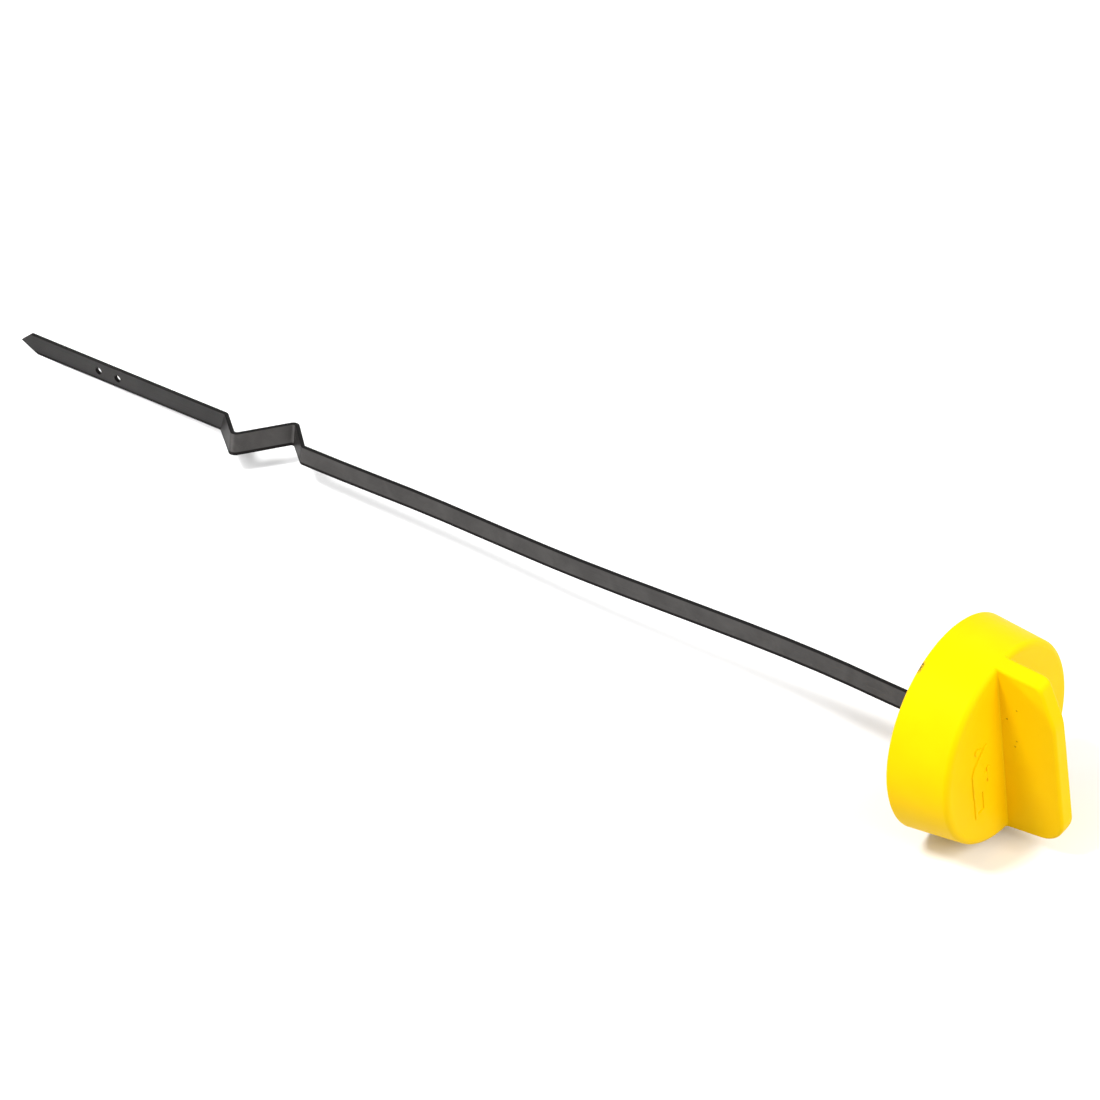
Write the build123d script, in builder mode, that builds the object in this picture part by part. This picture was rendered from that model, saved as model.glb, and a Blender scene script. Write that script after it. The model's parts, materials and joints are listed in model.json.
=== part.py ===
"""Engine oil dipstick: a folded flat steel blade in a moulded yellow winged cap.

Millimetres. The dipstick lies as it comes to rest, on the cap's back rim and the lower corner of the
blade's tip. X runs from the tip to the cap, Z is up, and the origin is under the middle of the whole.
"""

import os
from math import atan2, cos, radians, sin, tan

from build123d import *

os.makedirs("parts", exist_ok=True)

# Flat steel blade
blade_width = 5.25
blade_thickness = 1.0
blade_reach = 276.7  # from the cap's back face to the point of the tip
tang_depth = 20.0  # length of strip held inside the cap, from its back face
tip_upper_bevel = 3.5
tip_lower_bevel = 5.2
mark_hole_diameter = 2.0
low_mark_from_tip = 26.6
mark_spacing = 6.4

# Gentle bow of the blade between the cap and the kink
bow_far = 1.0
bow_far_at = 28.0
bow_near = 0.7
bow_near_at = 104.0
bow_back = 0.2
bow_back_at = 147.0

# Zigzag kink of four folds, which steadies the blade in its tube
kink_start = 183.2
kink_first_leg = 7.5
kink_cross_leg = 9.65
kink_last_leg = 8.35
kink_far = 5.5
kink_near = 6.6
kink_lean = 1.4  # how much nearer the lower edge of the cross leg is than its upper edge
first_fold_skew = 0.9  # how much nearer the tip the lower end of the fold is
last_fold_skew = 2.1
kink_entry_offset = 0.65
kink_exit_offset = 0.2
fold_lead = 5.0
fold_radius = 1.3

# Moulded cap
cap_back_radius = 24.5
cap_depth = 14.5
cap_draft = 5.7
cap_front_round = 1.8
cap_rim_bevel = 0.4
cap_wall = 2.6
cap_web = 3.0

# Grip wing across the cap's front
wing_height = 14.2
wing_thickness = 4.3
wing_edge_lean = 1.4  # turn of the outer edge, which stands lower towards the top
wing_shoulder_at = 11.5  # height above the axis at which the outer edge turns into the shoulder
wing_shoulder_lean = 16.5
wing_shoulder_round = 12.0
wing_upper_corner = 2.5
wing_lower_corner = 6.5
wing_edge_round = 0.8
wing_root_round = 0.25
wing_turn = 5.7  # turn of the wing about the axis, from the plane of the blade
scoop_flare = 4.0  # how far the scoop's side turns away from the rim, past the rounded edge
root_edges_per_side = 3  # the root's straight run and its two ends

# Spigot in the mouth of the dipstick tube, and its seal
tube_bore = 17.0
tube_clearance = 0.15
spigot_reach = 3.0  # how far the spigot stands out of the cap's back face
spigot_chamfer = 1.0
washer_seat_step = 0.4  # step at the spigot's root, on which the washer sits
washer_outer_radius = 14.0
washer_thickness = 2.0
washer_clearance = 0.1

# Sizes that follow
spigot_radius = tube_bore / 2 - tube_clearance
washer_seat_radius = spigot_radius + washer_seat_step
cap_taper = tan(radians(cap_draft))
cap_front_radius = cap_back_radius - cap_depth * cap_taper
web_inside = cap_depth - cap_web
washer_face = web_inside - washer_thickness
wing_out = cap_depth + wing_height
kink_entry = kink_start - fold_lead
kink_end = kink_start + kink_first_leg + kink_cross_leg + kink_last_leg
kink_exit = kink_end + fold_lead
edge_taper = tan(radians(wing_edge_lean))

# Slope of the axis: one floor touches the bevelled rim and the lower corner of the tip
rim_radius = cap_back_radius - cap_rim_bevel * cap_taper
slope = atan2(rim_radius - blade_width / 2, blade_reach - tip_lower_bevel + cap_rim_bevel)
axis_height = rim_radius * cos(slope) - cap_rim_bevel * sin(slope)

# Furthest points along X: the point of the tip and the wing's lower outer corner
reach_back = blade_reach * cos(slope)
wing_end_radius = cap_back_radius - wing_out * cap_taper
corner_out = wing_out - wing_lower_corner * (1 + edge_taper)
corner_drop = (wing_end_radius - wing_lower_corner) * cos(radians(wing_turn))
reach_front = corner_out * cos(slope) + corner_drop * sin(slope) + wing_lower_corner

# Planes through the middle of the cap's back face: along the axis from above, from the side and end on
centre = Vector((reach_back - reach_front) / 2, 0, axis_height)
axis_way = Vector(cos(slope), 0, sin(slope))
up_way = Vector(-sin(slope), 0, cos(slope))
flat = Plane(centre, x_dir=axis_way, z_dir=up_way)
side = Plane(centre, x_dir=axis_way, z_dir=(0, -1, 0))
end = Plane(centre, x_dir=(0, 1, 0), z_dir=axis_way)
long_axis = Axis(centre, axis_way)
wing_side = Plane(centre, x_dir=axis_way, z_dir=side.z_dir.rotate(long_axis, wing_turn))


def kink_path(upper):
    """Folded centre line of the kink at the blade's upper edge (1) or lower edge (-1)."""
    first = kink_start - upper * first_fold_skew / 2
    last = kink_end - upper * last_fold_skew / 2
    far = kink_start + kink_first_leg
    near = far + kink_cross_leg
    lean = upper * kink_lean / 2
    return [
        (-kink_entry, -kink_entry_offset),
        (-first, -kink_entry_offset),
        (-far, kink_far + lean),
        (-near, lean - kink_near),
        (-last, -kink_exit_offset),
        (-kink_exit, -kink_exit_offset),
    ]


def bow_points(face):
    """Points of the bowed stretch on the blade's far face (1) or near face (-1)."""
    shift = face * blade_thickness / 2
    return [
        (-spigot_reach, shift),
        (-bow_far_at, shift + bow_far),
        (-bow_near_at, shift - bow_near),
        (-bow_back_at, shift - bow_back),
        (-kink_entry, shift - kink_entry_offset),
    ]


with BuildPart() as blade:
    # Tang and bowed stretch, up to the kink
    with BuildSketch(flat.offset(-blade_width / 2)):
        with BuildLine():
            for face in (1, -1):
                bow = bow_points(face)
                Line((tang_depth, bow[0][1]), bow[0])
                Spline(*bow, tangents=((-1, 0), (-1, 0)))
            Line((tang_depth, -blade_thickness / 2), (tang_depth, blade_thickness / 2))
            Line(bow_points(-1)[-1], bow_points(1)[-1])
        make_face()
    extrude(amount=blade_width)

    # Kink, ruled between its folded lower and upper edges
    for upper in (-1, 1):
        with BuildSketch(flat.offset(upper * blade_width / 2)):
            with BuildLine():
                FilletPolyline(*kink_path(upper), radius=fold_radius)
                offset(amount=blade_thickness / 2, side=Side.BOTH)
            make_face()
    loft(ruled=True)

    # Straight end with its point and the two gauge holes
    with BuildSketch(side.offset(kink_exit_offset)):
        with BuildLine():
            Polyline(
                (-kink_exit, blade_width / 2),
                (tip_upper_bevel - blade_reach, blade_width / 2),
                (-blade_reach, 0),
                (tip_lower_bevel - blade_reach, -blade_width / 2),
                (-kink_exit, -blade_width / 2),
                close=True,
            )
        make_face()
        low_mark = low_mark_from_tip - blade_reach
        with Locations((low_mark, 0), (low_mark + mark_spacing, 0)):
            Circle(mark_hole_diameter / 2, mode=Mode.SUBTRACT)
    extrude(amount=blade_thickness / 2, both=True)

with BuildPart() as scoop:
    # Space on one side of the wing, with the cap's rounded front edge and the wing's root in its form
    with BuildSketch(flat) as scoop_section:
        with BuildLine():
            Polyline(
                (cap_depth, 0),
                (cap_depth, cap_front_radius),
                (web_inside, cap_front_radius + cap_web * tan(radians(cap_draft + scoop_flare))),
                (web_inside, 2 * cap_back_radius),
                (2 * wing_out, 2 * cap_back_radius),
                (2 * wing_out, 0),
                close=True,
            )
        make_face()
        front_edge = scoop_section.vertices().sort_by_distance((cap_depth, cap_front_radius))[0]
        fillet(front_edge, cap_front_round)
    revolve(axis=long_axis)
    split(bisect_by=wing_side.offset(wing_thickness / 2), keep=Keep.TOP)
    root_edges = scoop.faces().filter_by(wing_side).edges()
    fillet(root_edges.filter_by_position(long_axis, web_inside, cap_depth, (False, True)), wing_root_round)

with BuildPart() as cap:
    # Tapered cup, solid past the wing's edge, with the spigot in its middle
    blank_out = wing_out + wing_lower_corner
    with BuildSketch(flat):
        with BuildLine():
            Polyline(
                (blank_out, 0),
                (blank_out, cap_back_radius - blank_out * cap_taper),
                (cap_rim_bevel, rim_radius),
                (0, rim_radius - cap_rim_bevel),
                (0, cap_back_radius - cap_wall),
                (web_inside, cap_back_radius - cap_wall - web_inside * cap_taper),
                (web_inside, washer_seat_radius),
                (washer_face, washer_seat_radius),
                (washer_face, spigot_radius),
                (spigot_chamfer - spigot_reach, spigot_radius),
                (-spigot_reach, spigot_radius - spigot_chamfer),
                (-spigot_reach, 0),
                close=True,
            )
        make_face()
    revolve(axis=long_axis)

    # Grip wing, left standing between two scoops and trimmed to its outer edge and shoulder
    add(scoop.part, mode=Mode.SUBTRACT)
    mirror(scoop.part, about=wing_side, mode=Mode.SUBTRACT)
    shoulder_out = wing_out - (wing_shoulder_at + wing_end_radius) * edge_taper
    shoulder_run = (cap_back_radius - wing_shoulder_at) * tan(radians(wing_shoulder_lean))
    with BuildSketch(wing_side) as wing_trim:
        with BuildLine():
            Polyline(
                (shoulder_out - shoulder_run, cap_back_radius),
                (shoulder_out, wing_shoulder_at),
                (wing_out + (cap_back_radius - wing_end_radius) * edge_taper, -cap_back_radius),
                (2 * wing_out, -cap_back_radius),
                (2 * wing_out, cap_back_radius),
                close=True,
            )
        make_face()
        shoulder = wing_trim.vertices().sort_by_distance((shoulder_out, wing_shoulder_at))[0]
        fillet(shoulder, wing_shoulder_round)
    extrude(amount=wing_thickness, both=True, mode=Mode.SUBTRACT)
    wing_up = Axis(centre, wing_side.y_dir)
    shoulder_face = cap.faces().filter_by(GeomType.PLANE).sort_by(long_axis)[-2]
    fillet(shoulder_face.edges().sort_by(wing_up)[-1], wing_upper_corner)
    outer_face = cap.faces().filter_by(GeomType.PLANE).sort_by(long_axis)[-1]
    fillet(outer_face.edges().sort_by(wing_up)[0], wing_lower_corner)
    side_edges = cap.faces().filter_by(wing_side).edges().sort_by(long_axis)
    fillet(side_edges[2 * root_edges_per_side :], wing_edge_round)

    # Slot that holds the tang
    with BuildSketch(end.offset(-spigot_reach)):
        Rectangle(blade_thickness, blade_width)
    extrude(amount=spigot_reach + tang_depth, mode=Mode.SUBTRACT)

with BuildPart() as seal_washer:
    with BuildSketch(end.offset(web_inside)):
        Circle(washer_outer_radius)
        Circle(washer_seat_radius + washer_clearance, mode=Mode.SUBTRACT)
    extrude(amount=-washer_thickness)

pieces = {"blade": blade, "cap": cap, "seal_washer": seal_washer}
for name, piece in pieces.items():
    piece.part.label = name
    export_step(piece.part, f"parts/{name}.step")
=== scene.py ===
"""Engine oil dipstick on a pale floor.

A dark rolled-steel blade, a moulded yellow cap with a raised oil-can mark and a rubber washer.
"""

import json
from functools import reduce
from math import atan2, radians

import bpy
from mathutils import Euler, Matrix, Vector


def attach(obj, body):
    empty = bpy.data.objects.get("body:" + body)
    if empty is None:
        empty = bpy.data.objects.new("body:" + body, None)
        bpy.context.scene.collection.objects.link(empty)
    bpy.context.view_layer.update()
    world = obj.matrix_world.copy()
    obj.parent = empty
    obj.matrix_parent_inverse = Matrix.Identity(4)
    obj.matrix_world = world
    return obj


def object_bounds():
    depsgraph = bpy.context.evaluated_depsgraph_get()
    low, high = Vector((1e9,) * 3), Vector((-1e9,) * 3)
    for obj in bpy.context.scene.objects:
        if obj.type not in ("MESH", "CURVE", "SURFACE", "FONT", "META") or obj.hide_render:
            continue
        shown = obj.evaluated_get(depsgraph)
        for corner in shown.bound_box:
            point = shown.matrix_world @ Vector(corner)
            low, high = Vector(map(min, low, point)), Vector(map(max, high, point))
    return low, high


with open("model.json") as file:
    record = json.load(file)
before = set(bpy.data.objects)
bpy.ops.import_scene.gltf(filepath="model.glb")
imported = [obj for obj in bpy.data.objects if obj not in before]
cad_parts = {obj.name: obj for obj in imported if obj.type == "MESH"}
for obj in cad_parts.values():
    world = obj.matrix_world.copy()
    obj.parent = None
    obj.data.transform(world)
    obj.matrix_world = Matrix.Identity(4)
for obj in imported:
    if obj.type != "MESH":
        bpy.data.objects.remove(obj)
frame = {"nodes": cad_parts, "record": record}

cad_low, cad_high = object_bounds()
MM = 0.001

# Sizes of the dipstick that the finishes and the mark follow, in millimetres
SPIGOT_MIDDLE = 3.75  # where the record states the spigot, in front of the cap's back face
CAP_DEPTH = 14.5
CAP_BACK_RADIUS = 24.5
WING_TURN = radians(5.7)
BLADE_HALF_WIDTH = 2.625

# The cap's own axes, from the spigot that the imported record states: x along the axis, z up
spigot = next(mount for mount in frame["record"]["mounts"] if mount["name"] == "spigot")
cap_axis = -Vector(spigot["axis"]).normalized()
cap_centre = Vector(spigot["pos_m"]) - cap_axis * (SPIGOT_MIDDLE * MM)
cap_slope = atan2(cap_axis.z, cap_axis.x)
cap_turn = Euler((0, -cap_slope, 0))
wing_frame = Matrix.Rotation(-cap_slope, 3, "Y") @ Matrix.Rotation(WING_TURN, 3, "X")


class Signal:
    """A socket's value inside one material. Sums and products of signals add Math nodes."""

    def __init__(self, finish, socket):
        self.finish = finish
        self.socket = socket

    def maths(self, operation, *values):
        settings = {"operation": operation}
        return self.finish.node("ShaderNodeMath", settings, dict(enumerate(values)))

    def __add__(self, other):
        return self.maths("ADD", self, other)

    def __sub__(self, other):
        return self.maths("SUBTRACT", self, other)

    def __rsub__(self, other):
        return self.maths("SUBTRACT", other, self)

    def __mul__(self, other):
        return self.maths("MULTIPLY", self, other)

    def __pow__(self, other):
        return self.maths("POWER", self, other)

    def __lt__(self, other):
        return self.maths("LESS_THAN", self, other)

    __radd__ = __add__
    __rmul__ = __mul__

    def most(self, other):
        return self.maths("MAXIMUM", self, other)

    def size(self):
        return self.maths("ABSOLUTE", self)

    def step(self, low, high):
        """Rises smoothly from 0 at low to 1 at high."""
        settings = {"interpolation_type": "SMOOTHSTEP"}
        sockets = {"Value": self, "From Min": low, "From Max": high}
        return self.finish.node("ShaderNodeMapRange", settings, sockets)

    def fade(self, low, high):
        """Falls smoothly from 1 at low to 0 at high."""
        return 1 - self.step(low, high)

    def sway(self, amount):
        """How far a noise is from its middle, times an amount."""
        return (self - 0.5) * amount


def distance(first, second, spot):
    """How far a point is from a spot, in the plane of two of its coordinates."""
    return ((first - spot[0]) ** 2 + (second - spot[1]) ** 2) ** 0.5


def any_of(masks):
    """One mask for several, everywhere as strong as the strongest."""
    return reduce(Signal.most, masks)


class Finish:
    """A material and the one method that adds nodes to it."""

    def __init__(self, name):
        self.material = bpy.data.materials.new(name)
        self.material.use_nodes = True
        self.tree = self.material.node_tree
        self.tree.nodes.clear()

    def node(self, kind, settings=None, sockets=None, out=0):
        """Adds a node, sets it up, fills or links its sockets, and gives one output as a signal."""
        made = self.tree.nodes.new(kind)
        for name, value in (settings or {}).items():
            setattr(made, name, value)
        for name, value in (sockets or {}).items():
            if isinstance(value, Signal):
                self.tree.links.new(value.socket, made.inputs[name])
            else:
                made.inputs[name].default_value = value
        return Signal(self, made.outputs[out]) if made.outputs else None

    def outputs(self, kind, sockets=None):
        """Adds a node and gives all its outputs as signals, by name."""
        made = self.node(kind, None, sockets).socket.node
        return {socket.name: Signal(self, socket) for socket in made.outputs}

    def place(self, origin, turn, unit=(MM, MM, MM)):
        """Object coordinates seen from an origin, turned with its axes, and counted in a unit."""
        here = self.node("ShaderNodeTexCoord", out="Object")
        sockets = {"Vector": here, "Location": origin, "Rotation": turn, "Scale": unit}
        return self.node("ShaderNodeMapping", {"vector_type": "TEXTURE"}, sockets)

    def parts(self, vector):
        return self.outputs("ShaderNodeSeparateXYZ", {0: vector}).values()

    def noise(self, vector, scale, detail, roughness, distortion=0):
        sockets = {"Vector": vector, "Scale": scale, "Detail": detail}
        sockets |= {"Roughness": roughness, "Distortion": distortion}
        return self.node("ShaderNodeTexNoise", {"noise_dimensions": "3D"}, sockets, "Fac")

    def blend(self, amount, first, second):
        """Mixes two colours, or signals of colours."""
        sockets = {"Factor": amount, 6: first, 7: second}
        return self.node("ShaderNodeMix", {"data_type": "RGBA"}, sockets, 2)

    def bump(self, height, depth):
        """A bump from a height, of which 1 stands for the depth in metres."""
        sockets = {"Height": height, "Distance": depth, "Strength": 1}
        return self.node("ShaderNodeBump", None, sockets)

    def surface(self, **sockets):
        """Ends the material in a Principled shader. Underscores in the names stand for spaces."""
        named = {name.replace("_", " "): value for name, value in sockets.items()}
        self.end_with(self.node("ShaderNodeBsdfPrincipled", None, named))

    def end_with(self, shader):
        self.node("ShaderNodeOutputMaterial", None, {"Surface": shader})


# Yellow plastic, with depths in millimetres
YELLOW_DEEP = (0.96, 0.600, 0.0010, 1)
YELLOW_PALE = (0.97, 0.628, 0.0012, 1)
YELLOW_GLOSS = (1, 0.85, 0.1, 1)
GRAIN_DEPTH = 0.012
MOTTLE_DEPTH = 0.05

# Dark pits by the wing's root, in millimetres from the middle of the cap's back face: along, up and
# radius
PITS = ((16.2, 9.6, 0.2), (17.8, 2.4, 0.2), (18.3, 4.1, 0.17), (18.8, 13.0, 0.16))
PIT_FULL = 0.6  # times its radius, out to which a pit is dark
PIT_GONE = 1.6  # times its radius, past which nothing of it is left
PIT_SIDE = -1.0  # place across the wing, past which the pits show: its near side
PIT_DEPTH = 0.12
PIT_COVER = 0.6
PIT_BROWN = (0.25, 0.12, 0.004, 1)

# Dark brown patch on the cap's back edge, in millimetres
RIM_PATCH_TURN = radians(28)  # from the top of the rim to the near side
RIM_PATCH_FULL = 0.8  # distance from its middle, out to which the patch is dark
RIM_PATCH_GONE = 1.8
RIM_PATCH_DEEP = 0.5  # distance from the cap's back face, up to which the patch is dark
RIM_PATCH_END = 1.1
RIM_PATCH_COVER = 0.9
RIM_PATCH_BROWN = (0.10, 0.08, 0.03, 1)


def yellow_plastic():
    """Moulded satin yellow: faint grain, flow mottling, dark pits by the wing, a dark patch on the
    rim.
    """
    finish = Finish("yellow_plastic")
    near = finish.place(cap_centre, cap_turn)
    mottle = finish.noise(near, scale=0.09, detail=3, roughness=0.55)
    grain = finish.noise(near, scale=3.2, detail=2, roughness=0.5)
    pits = wing_pits(finish)
    rim_patch = rim_dark_patch(finish, near, grain)
    colour = finish.blend(mottle.step(0.35, 0.7), YELLOW_DEEP, YELLOW_PALE)
    colour = finish.blend(pits * PIT_COVER, colour, PIT_BROWN)
    colour = finish.blend(rim_patch * RIM_PATCH_COVER, colour, RIM_PATCH_BROWN)
    height = grain * GRAIN_DEPTH + mottle * MOTTLE_DEPTH - pits * PIT_DEPTH
    finish.surface(
        Base_Color=colour,
        Roughness=0.5 + grain.sway(0.12),
        Normal=finish.bump(height, MM),
        IOR=1.2,
        Specular_Tint=YELLOW_GLOSS,
    )
    return finish.material


def wing_pits(finish):
    """Mask of the small dark pits on the near side of the wing, close to its root."""
    along, across, up = finish.parts(finish.place(cap_centre, wing_frame.to_euler()))
    pits = [
        distance(along, up, place).fade(radius * PIT_FULL, radius * PIT_GONE)
        for *place, radius in PITS
    ]
    return any_of(pits) * (across < PIT_SIDE)


def rim_dark_patch(finish, near, grain):
    """Mask of a short dark patch on the cap's back edge, high on the near side."""
    along, across, up = finish.parts(near)
    spot = Matrix.Rotation(RIM_PATCH_TURN, 2) @ Vector((0, CAP_BACK_RADIUS))
    patch = distance(across, up, spot).fade(RIM_PATCH_FULL, RIM_PATCH_GONE)
    return patch * along.fade(RIM_PATCH_DEEP, RIM_PATCH_END) * grain.step(0.35, 0.5)


# Rolled steel
STEEL_DARK = (0.060, 0.057, 0.0555, 1)
STEEL_PALE = (0.083, 0.079, 0.0765, 1)
STEEL_LINE = (0.10, 0.096, 0.094, 1)
STEEL_SHEARED = (0.022, 0.021, 0.021, 1)
STEEL_GLANCE = (0.5, 0.5, 0.5, 1)  # tint of the shine where the steel is seen at a low angle
ROLLED_LINE = (60 * MM, 0.5 * MM, 0.22 * MM)  # room that one line takes up along, across and up
LINE_COVER = 0.35
LINE_DEPTH = 0.02 * MM
SHEARED_FROM = BLADE_HALF_WIDTH - 0.06
SHEARED_TO = BLADE_HALF_WIDTH - 0.01
SHEARED_COVER = 0.9

# Darker end of the blade, oil along its lower edge, and painted shade on the walls of the gauge
# holes, in millimetres along the blade from the cap's back face and up from the blade's middle
END_DARK_FROM = -212
END_DARK_TO = -200
END_DARK_COVER = 0.7
END_DARK_STEEL = (0.02, 0.02, 0.02, 1)
OIL_LINE_FULL = 0.65 - BLADE_HALF_WIDTH
OIL_LINE_GONE = 0.85 - BLADE_HALF_WIDTH
GAUGE_HOLES = ((-250.1, 0), (-243.7, 0))
GAUGE_HOLE_RADIUS = 1.0
GAUGE_HOLE_RING = 0.1  # width in which the painted shade fades round a hole
# Near black for the oil along the lower edge and for the painted shade on the gauge holes' walls
OIL_AND_HOLE_SHADE_COVER = 0.92
OIL_AND_HOLE_SHADE_BLACK = (0.006, 0.005, 0.005, 1)


def rolled_steel():
    """Dark rolled strip: fine lines along it, cloudy oxide, darker sheared edges, a darker end, oil
    along its lower edge, and painted shade in the gauge holes.
    """
    finish = Finish("rolled_steel")
    strip = finish.place(cap_centre, cap_turn)
    along, _, up = finish.parts(strip)
    rolled = finish.place(cap_centre, cap_turn, ROLLED_LINE)
    lines = finish.noise(rolled, scale=1.0, detail=4, roughness=0.6)
    clouds = finish.noise(strip, scale=0.16, detail=4, roughness=0.6, distortion=0.4)
    sheared = up.size().step(SHEARED_FROM, SHEARED_TO)
    # Oil along the lower edge, and painted shade: the walls of the gauge holes painted near black
    oil_line_and_hole_shade = up.fade(OIL_LINE_FULL, OIL_LINE_GONE).most(gauge_hole_shade(along, up))
    colour = finish.blend(clouds.step(0.3, 0.75), STEEL_DARK, STEEL_PALE)
    colour = finish.blend(lines.step(0.5, 0.8) * LINE_COVER, colour, STEEL_LINE)
    colour = finish.blend(along.fade(END_DARK_FROM, END_DARK_TO) * END_DARK_COVER, colour, END_DARK_STEEL)
    colour = finish.blend(sheared * SHEARED_COVER, colour, STEEL_SHEARED)
    colour = finish.blend(oil_line_and_hole_shade * OIL_AND_HOLE_SHADE_COVER, colour, OIL_AND_HOLE_SHADE_BLACK)
    finish.surface(
        Base_Color=colour,
        Metallic=0.85,
        Roughness=0.42 + clouds.sway(0.2) + lines.sway(0.15) + sheared * 0.2,
        Normal=finish.bump(lines, LINE_DEPTH),
        Specular_Tint=STEEL_GLANCE,
    )
    return finish.material


def gauge_hole_shade(along, up):
    """Mask of the walls of the two gauge holes, where shade is painted near black."""
    ring = GAUGE_HOLE_RADIUS + GAUGE_HOLE_RING
    return any_of(distance(along, up, hole).fade(GAUGE_HOLE_RADIUS, ring) for hole in GAUGE_HOLES)


# Seal rubber
RUBBER_BLACK = (0.016, 0.016, 0.017, 1)
RUBBER_BLOOM = (0.035, 0.034, 0.034, 1)
RUBBER_GRAIN_DEPTH = 0.02 * MM


def seal_rubber():
    """Black moulded rubber, matt, with a fine dusty bloom."""
    finish = Finish("seal_rubber")
    near = finish.place(cap_centre, cap_turn)
    bloom = finish.noise(near, scale=0.5, detail=4, roughness=0.6)
    grain = finish.noise(near, scale=6.0, detail=2, roughness=0.5)
    finish.surface(
        Base_Color=finish.blend(bloom.step(0.4, 0.75), RUBBER_BLACK, RUBBER_BLOOM),
        Roughness=0.62 + bloom.sway(0.2),
        Normal=finish.bump(grain, RUBBER_GRAIN_DEPTH),
    )
    return finish.material


# The raised oil-can mark, drawn in millimetres on the cap's front face: x up along the wing, y away
# from the wing
MARK_HEIGHT = 0.35 * MM
NECK_HEIGHT = MARK_HEIGHT * 0.7
HANDLE_HEIGHT = MARK_HEIGHT * 0.85
MARK_SUNK = 0.15 * MM
MARK_EDGE = 0.12 * MM
MARK_EDGE_STEPS = 2
MARK_SMOOTH_ANGLE = radians(20)
DROP_CORNERS = 16
DROP_RADIUS = 0.8 * MM
DROP_POINT = 0.9 * MM
DROP_PLACE = (6.6 * MM, 11.4 * MM, 0)


def begin_plate(low, high):
    """A flat plate of the mark between two corners, left in edit mode."""
    bpy.ops.object.select_all(action="DESELECT")
    bpy.ops.mesh.primitive_plane_add(size=MM, location=(0, 0, 0))
    bpy.ops.object.mode_set(mode="EDIT")
    bpy.ops.transform.resize(value=(high[0] - low[0], high[1] - low[1], 1))
    middle = ((low[0] + high[0]) / 2 * MM, (low[1] + high[1]) / 2 * MM, 0)
    bpy.ops.transform.translate(value=middle)
    return bpy.context.object


def pull_edge(plate, low, high, move, widen=(1, 1, 1)):
    """Extrudes the plate's edge that lies between two corners, moves it and widens its new end."""
    bpy.ops.mesh.select_all(action="DESELECT")
    bpy.ops.object.mode_set(mode="OBJECT")
    for edge in plate.data.edges:
        ends = [plate.data.vertices[index].co / MM for index in edge.vertices]
        edge.select = all(
            low[0] <= end.x <= high[0] and low[1] <= end.y <= high[1] for end in ends
        )
    bpy.ops.object.mode_set(mode="EDIT")
    move_by = (move[0] * MM, move[1] * MM, 0)
    bpy.ops.mesh.extrude_edges_move(TRANSFORM_OT_translate={"value": move_by})
    bpy.ops.transform.resize(value=widen)


def thicken(plate, height):
    """Raises the plate from below the face that it stands on to a height above it."""
    bpy.ops.mesh.select_all(action="SELECT")
    bpy.ops.transform.translate(value=(0, 0, -MARK_SUNK))
    move_by = (0, 0, MARK_SUNK + height)
    bpy.ops.mesh.extrude_region_move(TRANSFORM_OT_translate={"value": move_by})
    bpy.ops.mesh.select_all(action="SELECT")
    bpy.ops.mesh.normals_make_consistent(inside=False)
    bpy.ops.object.mode_set(mode="OBJECT")
    return plate


def can_body():
    """The can's body, drawn out in two steps into its tapering spout."""
    body = begin_plate((-5.0, 9.6), (1.4, 13.8))
    bpy.ops.mesh.select_mode(type="EDGE")
    pull_edge(body, (1.3, 9), (1.5, 14), (1.6, 0.1), (1, 0.55, 1))
    pull_edge(body, (2.9, 9), (3.1, 14), (3.4, -3.6), (1, 0.4, 1))
    return thicken(body, MARK_HEIGHT)


def can_neck():
    return thicken(begin_plate((-2.9, 8.3), (-0.9, 10.0)), NECK_HEIGHT)


def can_lid():
    return thicken(begin_plate((-3.9, 7.5), (0.1, 8.5)), MARK_HEIGHT)


def can_handle():
    """A bent strip behind the body, drawn out from its upper arm round to its lower one."""
    handle = begin_plate((-6.9, 9.6), (-4.7, 10.5))
    bpy.ops.mesh.select_mode(type="EDGE")
    pull_edge(handle, (-7.0, 9), (-6.8, 11), (-3.2, 0))
    pull_edge(handle, (-10.2, 9), (-10.0, 11), (-0.9, 0))
    pull_edge(handle, (-11.1, 10.4), (-10.0, 10.6), (0, 2.2))
    pull_edge(handle, (-11.1, 12.6), (-10.0, 12.8), (0, 0.9))
    pull_edge(handle, (-10.2, 12.6), (-10.0, 13.7), (5.4, 0))
    return thicken(handle, HANDLE_HEIGHT)


def oil_drop():
    """A round drop with its top drawn out towards the spout."""
    bpy.ops.object.select_all(action="DESELECT")
    bpy.ops.mesh.primitive_circle_add(
        vertices=DROP_CORNERS, radius=DROP_RADIUS, fill_type="NGON", location=(0, 0, 0)
    )
    drop = bpy.context.object
    bpy.ops.object.mode_set(mode="EDIT")
    bpy.ops.mesh.select_mode(type="VERT")
    bpy.ops.mesh.select_all(action="DESELECT")
    bpy.ops.object.mode_set(mode="OBJECT")
    for vertex in drop.data.vertices:
        vertex.select = vertex.co.y < -0.99 * DROP_RADIUS
    bpy.ops.object.mode_set(mode="EDIT")
    bpy.ops.transform.translate(value=(0, -DROP_POINT, 0))
    bpy.ops.mesh.select_all(action="SELECT")
    bpy.ops.transform.translate(value=DROP_PLACE)
    return thicken(drop, MARK_HEIGHT)


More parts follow.
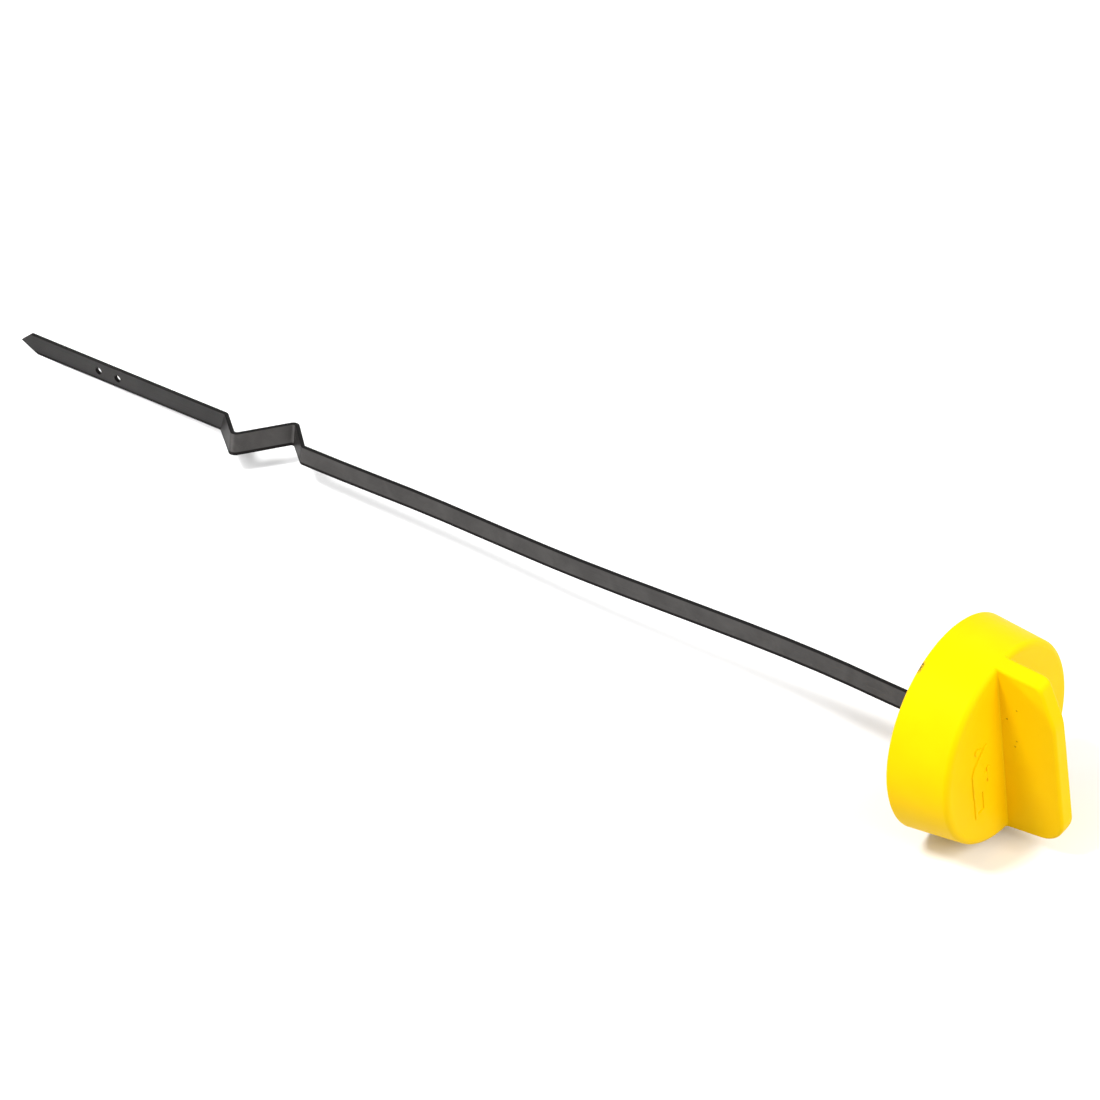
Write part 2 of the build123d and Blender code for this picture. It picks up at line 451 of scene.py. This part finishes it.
def raise_mark(material):
    """Joins the mark's plates, softens their edges and sets them on the front face."""
    plates = [can_body(), can_neck(), can_lid(), can_handle(), oil_drop()]
    bpy.ops.object.select_all(action="DESELECT")
    for plate in plates:
        plate.select_set(True)
    mark = plates[0]
    bpy.context.view_layer.objects.active = mark
    bpy.ops.object.join()
    mark.name = "oil_can_mark"
    soften = mark.modifiers.new("soften", "BEVEL")
    soften.width = MARK_EDGE
    soften.segments = MARK_EDGE_STEPS
    bpy.ops.object.modifier_apply(modifier="soften")
    up, near, out = wing_frame.col[2], -wing_frame.col[1], wing_frame.col[0]
    seat = Matrix((up, near, out)).transposed().to_4x4()
    seat.translation = cap_centre + cap_axis * (CAP_DEPTH * MM)
    mark.matrix_world = seat
    bpy.ops.object.transform_apply(location=True, rotation=True, scale=True)
    bpy.ops.object.shade_smooth_by_angle(angle=MARK_SMOOTH_ANGLE)
    mark.data.materials.append(material)
    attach(mark, "root")


# The floor, white for what sees it and duller for the light that it gives back
FLOOR_SIZE = 8
SEEN_RAYS = ("Is Camera Ray", "Is Glossy Ray", "Is Transmission Ray")
SEEN_WHITE = (1, 1, 1, 1)
BOUNCED_WHITE = (0.5, 0.5, 0.5, 1)


def pale_floor():
    """Matt white, on which only the shadows show."""
    finish = Finish("pale_floor")
    rays = finish.outputs("ShaderNodeLightPath")
    seen = any_of(rays[name] for name in SEEN_RAYS)
    colour = finish.blend(seen, BOUNCED_WHITE, SEEN_WHITE)
    finish.end_with(finish.node("ShaderNodeBsdfDiffuse", None, {"Color": colour}))
    return finish.material


def lay_floor():
    bpy.ops.object.select_all(action="DESELECT")
    bpy.ops.mesh.primitive_plane_add(size=FLOOR_SIZE, location=(0, 0, 0))
    floor = bpy.context.object
    floor.name = "floor"
    floor.data.materials.append(pale_floor())


# Even light of the room
ROOM_WHITE = (1, 1, 1, 1)
ROOM_STRENGTH = 0.5

# Lamps round the cap: name, place from the middle of the cap's back face, width in metres, watts
CAP_LAMPS = (
    ("key", Vector((-1.1, -1.7, 3.2)).normalized() * 1.3, 0.3, 12),
    ("front_fill", Vector((0.95, 0, 0.85)), 0.8, 10),
    ("back_fill", Vector((0.3, 0.45, 0.45)), 0.3, 0.8),
    ("rim_fill", Vector((-0.55, -0.6, 0.055)), 0.12, 1.8),
)

# A narrow lamp that clears the front fill's shadow from under the blade's end
END_FROM_TIP = 0.03
END_NEARER = 0.01
END_LAMP_PLACE = Vector((-0.2, -0.7, 0.8))
END_LAMP_WIDTH = 0.06
END_LAMP_POWER = 0.011
END_LAMP_SPREAD = radians(5)


def light_room():
    world = bpy.data.worlds.new("soft_room")
    bpy.context.scene.world = world
    world.use_nodes = True
    background = world.node_tree.nodes["Background"]
    background.inputs["Color"].default_value = ROOM_WHITE
    background.inputs["Strength"].default_value = ROOM_STRENGTH


def hang_lamp(name, target, way, width, power):
    """A round lamp that hangs some way from its target and shines at it."""
    place = target + way
    bpy.ops.object.select_all(action="DESELECT")
    bpy.ops.object.light_add(type="AREA", location=place)
    lamp = bpy.context.object
    lamp.name = name
    lamp.data.shape = "DISK"
    lamp.data.size = width
    lamp.data.energy = power
    lamp.rotation_euler = (target - place).to_track_quat("-Z", "Y").to_euler()
    return lamp


def hang_lamps():
    for name, way, width, power in CAP_LAMPS:
        hang_lamp(name, cap_centre, way, width, power)
    end = Vector((cad_low[0] + END_FROM_TIP, -END_NEARER, 0))
    end_lamp = hang_lamp("end_light", end, END_LAMP_PLACE, END_LAMP_WIDTH, END_LAMP_POWER)
    end_lamp.data.spread = END_LAMP_SPREAD


# The camera's place from the middle of the cap's back face, its turn and its lens
CAMERA_FROM_CAP = Vector((0.33162, -0.55765, 0.55735))
CAMERA_TURN = (radians(51.52), 0, radians(38.28))
CAMERA_LENS = 130.9
CAMERA_SENSOR = 36
CAMERA_SIGHT = 50  # metres, past which nothing is drawn


def set_camera():
    bpy.ops.object.camera_add(location=cap_centre + CAMERA_FROM_CAP, rotation=CAMERA_TURN)
    camera = bpy.context.object
    camera.data.sensor_width = CAMERA_SENSOR
    camera.data.lens = CAMERA_LENS
    camera.data.clip_end = CAMERA_SIGHT
    bpy.context.scene.camera = camera


nodes = frame["nodes"]
yellow = yellow_plastic()
finishes = {"blade": rolled_steel(), "cap": yellow, "seal_washer": seal_rubber()}
for name, material in finishes.items():
    nodes[name].data.materials.clear()
    nodes[name].data.materials.append(material)
raise_mark(yellow)

lay_floor()
light_room()
hang_lamps()
set_camera()
bpy.context.scene.view_settings.view_transform = "Standard"
